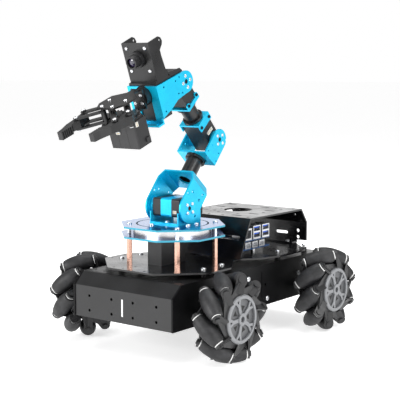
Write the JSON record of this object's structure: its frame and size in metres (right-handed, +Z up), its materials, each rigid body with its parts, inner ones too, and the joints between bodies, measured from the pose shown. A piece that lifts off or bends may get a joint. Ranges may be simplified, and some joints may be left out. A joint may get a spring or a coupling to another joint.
{
  "type": "mecanum wheel robot",
  "caption": "Mecanum wheel robot car with a turret-mounted servo arm, parallel gripper, wrist camera and a bridged computer bay.",
  "frame": {"origin": "on the ground, midway between the four wheels", "axes": "+Z up, -Y towards the robot's front, +X towards its side with the computer's sockets"},
  "size_m": [0.24, 0.3684, 0.3389],
  "materials": {
    "black_sheet": "fine black powder coat",
    "deck_black": "smooth satin black coat",
    "blue_anodised": "bright blue anodised, lightly brushed",
    "plate_blue": "blue anodised, polished face",
    "bearing_silver": "bright turned",
    "copper_pillar": "copper coloured hex bar",
    "steel_screw": "bright zinc",
    "servo_black": "fine moulded texture",
    "servo_blue": "blue anodised band",
    "horn_metal": "blue anodised",
    "black_metal": "black anodised look",
    "hub_grey": "mid-grey moulding",
    "roller_rubber": "dark moulded rubber",
    "motor_steel": "plain zinc",
    "battery_wrap": "shrink wrap",
    "board_laminate": "dark solder mask",
    "port_metal": "bright tin",
    "lens_glass": "coated lens"
  },
  "bodies": {
    "chassis": {"chassis_tray": "black_sheet", "side_plate_left": "black_sheet", "side_plate_right": "black_sheet", "body_lid": "black_sheet", "deck_plate": "deck_black", "deck_spacers": "black_metal", "body_screws": "steel_screw", "gearmotors": "motor_steel", "motor_brackets": "motor_steel", "bridge_bracket": "black_sheet", "computer_board": "board_laminate", "computer_ports": "port_metal", "board_standoffs": "steel_screw", "battery_pack": "battery_wrap", "turret_pillars": "copper_pillar", "lower_bearing_plate": "plate_blue", "upper_bearing_plate": "plate_blue", "bearing_ring": "bearing_silver", "base_servo": "servo_black"},
    "turret": {"turntable": "plate_blue", "shoulder_tray": "blue_anodised", "shoulder_servo": "servo_black", "shoulder_servo_band": "servo_blue", "turret_screws": "steel_screw"},
    "lower_arm": {"shoulder_bracket": "blue_anodised", "lower_tube": "black_metal", "elbow_bracket": "blue_anodised", "lower_arm_horns": "horn_metal", "lower_arm_screws": "steel_screw"},
    "upper_arm": {"elbow_servo": "servo_black", "elbow_servo_frame": "blue_anodised", "upper_tube": "black_metal", "wrist_servo_frame": "blue_anodised", "wrist_servo": "servo_black", "upper_arm_screws": "steel_screw"},
    "wrist": {"wrist_bracket": "blue_anodised", "roll_servo": "servo_black", "wrist_horns": "horn_metal", "camera_bracket": "black_metal", "camera_module": "servo_black", "camera_lens": "lens_glass", "wrist_screws": "steel_screw"},
    "gripper": {"roll_horn": "black_metal", "gripper_base": "black_metal", "gripper_servo": "servo_black", "gripper_screws": "steel_screw"},
    "crank_left": {"crank_left": "black_metal"},
    "idler_left": {"idler_left": "black_metal"},
    "finger_left": {"finger_left": "black_metal"},
    "wheel_front_left": {"wheel_hub_front_left": "hub_grey", "wheel_rollers_front_left": "roller_rubber"},
    "wheel_rear_left": {"wheel_hub_rear_left": "hub_grey", "wheel_rollers_rear_left": "roller_rubber"},
    "crank_right": {"crank_right": "black_metal"},
    "idler_right": {"idler_right": "black_metal"},
    "finger_right": {"finger_right": "black_metal"},
    "wheel_front_right": {"wheel_hub_front_right": "hub_grey", "wheel_rollers_front_right": "roller_rubber"},
    "wheel_rear_right": {"wheel_hub_rear_right": "hub_grey", "wheel_rollers_rear_right": "roller_rubber"}
  },
  "joints": [
    {"name": "wheel_spin_front_left", "type": "hinge", "parent": "chassis", "child": "wheel_front_left", "pos_m": [-0.1016, -0.0956, 0.0485], "axis": [1, 0, 0], "continuous": true},
    {"name": "wheel_spin_front_right", "type": "hinge", "parent": "chassis", "child": "wheel_front_right", "pos_m": [0.1016, -0.0956, 0.0485], "axis": [1, 0, 0], "continuous": true},
    {"name": "wheel_spin_rear_left", "type": "hinge", "parent": "chassis", "child": "wheel_rear_left", "pos_m": [-0.1016, 0.0956, 0.0485], "axis": [1, 0, 0], "continuous": true},
    {"name": "wheel_spin_rear_right", "type": "hinge", "parent": "chassis", "child": "wheel_rear_right", "pos_m": [0.1016, 0.0956, 0.0485], "axis": [1, 0, 0], "continuous": true},
    {"name": "base_yaw", "type": "hinge", "parent": "chassis", "child": "turret", "pos_m": [0, -0.0645, 0.13], "axis": [0, 0, 1], "range_deg": [-120, 120]},
    {"name": "shoulder_pitch", "type": "hinge", "parent": "turret", "child": "lower_arm", "pos_m": [0, -0.0655, 0.1537], "axis": [1, 0, 0], "range_deg": [-20, 75]},
    {"name": "elbow_pitch", "type": "hinge", "parent": "lower_arm", "child": "upper_arm", "pos_m": [0, -0.0038, 0.22594], "axis": [-1, 0, 0], "range_deg": [-35, 80]},
    {"name": "wrist_pitch", "type": "hinge", "parent": "upper_arm", "child": "wrist", "pos_m": [0, -0.06518, 0.29176], "axis": [1, 0, 0], "range_deg": [-75, 40]},
    {"name": "wrist_roll", "type": "hinge", "parent": "wrist", "child": "gripper", "pos_m": [0, -0.11945, 0.27414], "axis": [0, -0.9367, -0.3502], "range_deg": [-90, 90]},
    {"name": "crank_turn_right", "type": "hinge", "parent": "gripper", "child": "crank_right", "pos_m": [0.011, -0.15036, 0.26258], "axis": [0, -0.3502, 0.9367], "range_deg": [-38, 15]},
    {"name": "crank_turn_left", "type": "hinge", "parent": "gripper", "child": "crank_left", "pos_m": [-0.011, -0.15036, 0.26258], "axis": [0, -0.3502, 0.9367], "range_deg": [-15, 38]},
    {"name": "idler_turn_right", "type": "hinge", "parent": "gripper", "child": "idler_right", "pos_m": [0.007, -0.16628, 0.25663], "axis": [0, -0.3502, 0.9367], "range_deg": [-38, 15]},
    {"name": "finger_turn_right", "type": "hinge", "parent": "crank_right", "child": "finger_right", "pos_m": [0.0305, -0.17003, 0.25523], "axis": [0, -0.3502, 0.9367], "range_deg": [-15, 38]},
    {"name": "idler_turn_left", "type": "hinge", "parent": "gripper", "child": "idler_left", "pos_m": [-0.007, -0.16628, 0.25663], "axis": [0, -0.3502, 0.9367], "range_deg": [-15, 38]},
    {"name": "finger_turn_left", "type": "hinge", "parent": "crank_left", "child": "finger_left", "pos_m": [-0.0305, -0.17003, 0.25523], "axis": [0, -0.3502, 0.9367], "range_deg": [-38, 15]}
  ],
  "couplings": [
    {"joint": "crank_turn_left", "follows": "crank_turn_right", "ratio": -1},
    {"joint": "idler_turn_right", "follows": "crank_turn_right", "ratio": 1},
    {"joint": "idler_turn_left", "follows": "crank_turn_right", "ratio": -1},
    {"joint": "finger_turn_right", "follows": "crank_turn_right", "ratio": -1},
    {"joint": "finger_turn_left", "follows": "crank_turn_right", "ratio": 1}
  ]
}
